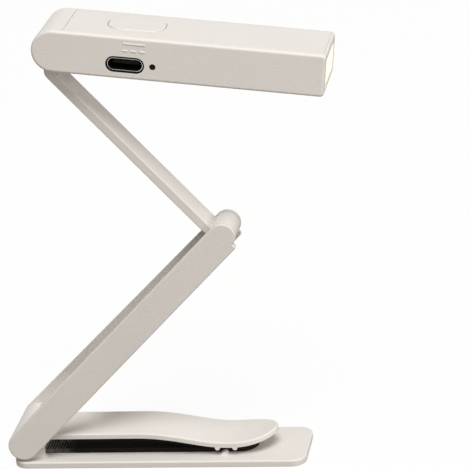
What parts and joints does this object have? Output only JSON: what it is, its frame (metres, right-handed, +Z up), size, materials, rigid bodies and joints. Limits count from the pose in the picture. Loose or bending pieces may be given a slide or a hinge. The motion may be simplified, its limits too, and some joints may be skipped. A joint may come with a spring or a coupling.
{
  "type": "folding bookmark reading light",
  "caption": "Flat-folding reading light: spring clip on a narrow base for the pages, channelled lower arm, cranked upper arm and a slim head that shines out of its end",
  "frame": {"origin": "middle of the base plate's flat underside", "axes": "+Z up, +X along the base the way the head points, +Y across the base, away from the charge socket"},
  "size_m": [0.0912, 0.02, 0.1192],
  "materials": {
    "shell": "satin",
    "top_panel": "satin",
    "key": "satin",
    "pad_rubber": "matte",
    "pin_steel": "brushed",
    "spring_steel": "polished",
    "socket_steel": "polished",
    "washer": "matte",
    "black_plastic": "matte",
    "board": "satin",
    "battery_foil": "satin",
    "diffuser": "satin",
    "reflector_white": "gloss",
    "phosphor": "matte",
    "indicator_clear": "gloss"
  },
  "bodies": {
    "base": {"base_plate": "shell", "base_pad": "pad_rubber", "base_pin": "pin_steel", "clip_spring": "spring_steel"},
    "clip": {"clip_lever": "shell", "clip_pad": "pad_rubber"},
    "lower_arm": {"lower_arm": "shell", "elbow_pin": "pin_steel", "base_friction_washers": "washer", "elbow_friction_washers": "washer"},
    "upper_arm": {"upper_arm": "shell"},
    "head": {"head_housing": "shell", "head_cover": "top_panel", "head_pin": "pin_steel", "head_friction_washers": "washer", "tactile_switch": "black_plastic", "circuit_board": "board", "charge_socket_shell": "socket_steel", "charge_socket_tongue": "black_plastic", "indicator_light": "indicator_clear", "indicator_led": "indicator_clear", "battery": "battery_foil", "light_lens": "diffuser", "reflector": "reflector_white", "led_board": "board", "led_chips": "phosphor"},
    "button": {"button_cap": "key", "switch_stem": "black_plastic"}
  },
  "joints": [
    {"name": "arm_tilt", "type": "hinge", "parent": "base", "child": "lower_arm", "pos_m": [-0.03537, 0, 0.00638], "axis": [0, -1, 0], "range_deg": [-28, 60]},
    {"name": "elbow_fold", "type": "hinge", "parent": "lower_arm", "child": "upper_arm", "pos_m": [0.02165, 0, 0.06228], "axis": [0, 1, 0], "range_deg": [-90, 80]},
    {"name": "head_tilt", "type": "hinge", "parent": "upper_arm", "child": "head", "pos_m": [-0.0153, 0, 0.11381], "axis": [0, -1, 0], "range_deg": [-38, 66]},
    {"name": "clip_open", "type": "hinge", "parent": "base", "child": "clip", "pos_m": [-0.03537, 0, 0.00638], "axis": [0, -1, 0], "range_deg": [0, 16], "stiffness_Nm_per_rad": 0.05, "springref_deg": -28.65},
    {"name": "button_press", "type": "slide", "parent": "head", "child": "button", "axis": [-0.1323, 0, -0.9912], "range_m": [0, 0.00035], "stiffness_N_per_m": 3000, "springref_m": -0.0001}
  ]
}
